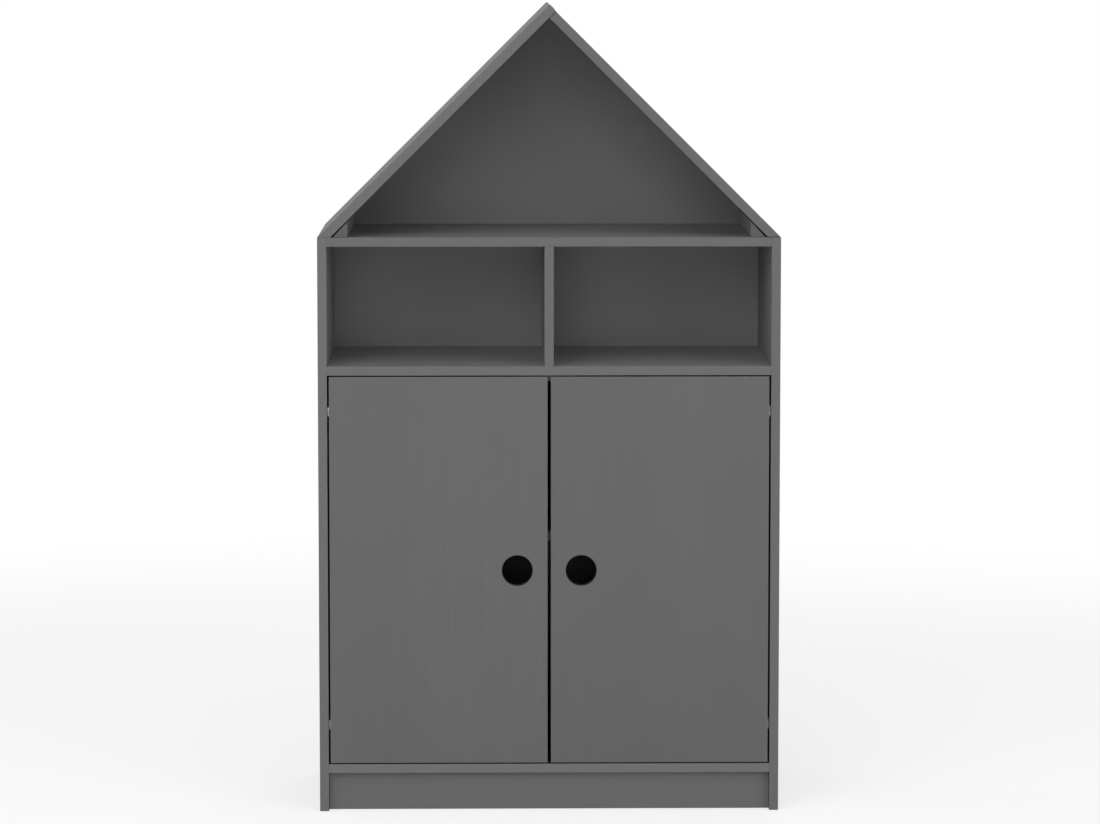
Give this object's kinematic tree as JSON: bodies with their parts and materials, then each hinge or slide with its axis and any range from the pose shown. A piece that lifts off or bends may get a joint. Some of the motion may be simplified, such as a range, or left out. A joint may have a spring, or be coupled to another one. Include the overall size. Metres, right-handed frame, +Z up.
{
  "type": "house-shaped cabinet",
  "caption": "House-shaped children's cabinet with a gabled attic shelf, open cubbies and an inner shelf behind inset hinged doors with round finger holes.",
  "frame": {"origin": "on the floor, at the middle of the footprint", "axes": "+Z up, +X to the right as seen from the front, doors face -Y"},
  "size_m": [0.76, 0.35, 1.3326],
  "materials": {
    "back_nails": "zinc-plated steel",
    "back_sheet": "hardboard, painted matt dark grey",
    "bottom_board": "glued pine board, painted satin dark grey",
    "cam_bolts": "zinc-plated steel",
    "cam_locks": "die-cast zinc",
    "carcass_dowels": "bare beech",
    "centre_divider": "glued pine board, painted satin dark grey",
    "cleat_screws": "zinc-plated steel",
    "door_stop": "glued pine board, painted satin dark grey",
    "eave_cleat_left": "glued pine board, painted satin dark grey",
    "eave_cleat_right": "glued pine board, painted satin dark grey",
    "gable_sheet": "hardboard, painted matt dark grey",
    "hinge_arm_screws": "zinc-plated steel",
    "inner_shelf": "glued pine board, painted satin dark grey",
    "left_cup_screws": "zinc-plated steel",
    "left_door": "glued pine board, painted satin dark grey",
    "left_lower_hinge_arm": "nickel-plated steel",
    "left_lower_hinge_cup": "nickel-plated steel",
    "left_lower_hinge_pin": "nickel-plated steel",
    "left_strike_plate": "plain steel",
    "left_strike_screw": "zinc-plated steel",
    "left_upper_hinge_arm": "nickel-plated steel",
    "left_upper_hinge_cup": "nickel-plated steel",
    "left_upper_hinge_pin": "nickel-plated steel",
    "middle_board": "glued pine board, painted satin dark grey",
    "plinth_front": "glued pine board, painted satin dark grey",
    "plinth_rear": "glued pine board, painted satin dark grey",
    "right_cup_screws": "zinc-plated steel",
    "right_door": "glued pine board, painted satin dark grey",
    "right_lower_hinge_arm": "nickel-plated steel",
    "right_lower_hinge_cup": "nickel-plated steel",
    "right_lower_hinge_pin": "nickel-plated steel",
    "right_strike_plate": "plain steel",
    "right_strike_screw": "zinc-plated steel",
    "right_upper_hinge_arm": "nickel-plated steel",
    "right_upper_hinge_cup": "nickel-plated steel",
    "right_upper_hinge_pin": "nickel-plated steel",
    "roof_board_left": "glued pine board, painted satin dark grey",
    "roof_board_right": "glued pine board, painted satin dark grey",
    "roof_screws": "zinc-plated steel",
    "shelf_supports": "zinc-plated steel",
    "side_panel_left": "glued pine board, painted satin dark grey",
    "side_panel_right": "glued pine board, painted satin dark grey",
    "stop_magnets": "sintered ferrite",
    "stop_screws": "zinc-plated steel",
    "top_board": "glued pine board, painted satin dark grey"
  },
  "bodies": {
    "cabinet": {"back_nails": "back_nails", "back_sheet": "back_sheet", "bottom_board": "bottom_board", "cam_bolts": "cam_bolts", "cam_locks": "cam_locks", "carcass_dowels": "carcass_dowels", "centre_divider": "centre_divider", "cleat_screws": "cleat_screws", "door_stop": "door_stop", "eave_cleat_left": "eave_cleat_left", "eave_cleat_right": "eave_cleat_right", "gable_sheet": "gable_sheet", "hinge_arm_screws": "hinge_arm_screws", "inner_shelf": "inner_shelf", "left_lower_hinge_arm": "left_lower_hinge_arm", "left_upper_hinge_arm": "left_upper_hinge_arm", "middle_board": "middle_board", "plinth_front": "plinth_front", "plinth_rear": "plinth_rear", "right_lower_hinge_arm": "right_lower_hinge_arm", "right_upper_hinge_arm": "right_upper_hinge_arm", "roof_board_left": "roof_board_left", "roof_board_right": "roof_board_right", "roof_screws": "roof_screws", "shelf_supports": "shelf_supports", "side_panel_left": "side_panel_left", "side_panel_right": "side_panel_right", "stop_magnets": "stop_magnets", "stop_screws": "stop_screws", "top_board": "top_board"},
    "left_door": {"left_cup_screws": "left_cup_screws", "left_door": "left_door", "left_lower_hinge_cup": "left_lower_hinge_cup", "left_lower_hinge_pin": "left_lower_hinge_pin", "left_strike_plate": "left_strike_plate", "left_strike_screw": "left_strike_screw", "left_upper_hinge_cup": "left_upper_hinge_cup", "left_upper_hinge_pin": "left_upper_hinge_pin"},
    "right_door": {"right_cup_screws": "right_cup_screws", "right_door": "right_door", "right_lower_hinge_cup": "right_lower_hinge_cup", "right_lower_hinge_pin": "right_lower_hinge_pin", "right_strike_plate": "right_strike_plate", "right_strike_screw": "right_strike_screw", "right_upper_hinge_cup": "right_upper_hinge_cup", "right_upper_hinge_pin": "right_upper_hinge_pin"}
  },
  "joints": [
    {"name": "left_door_swing", "type": "hinge", "parent": "cabinet", "child": "left_door", "pos_m": [-0.3518, -0.1675, 0.4025], "axis": [0, 0, -1], "range_deg": [0, 95]},
    {"name": "right_door_swing", "type": "hinge", "parent": "cabinet", "child": "right_door", "pos_m": [0.3518, -0.1675, 0.4025], "axis": [0, 0, 1], "range_deg": [0, 95]}
  ]
}
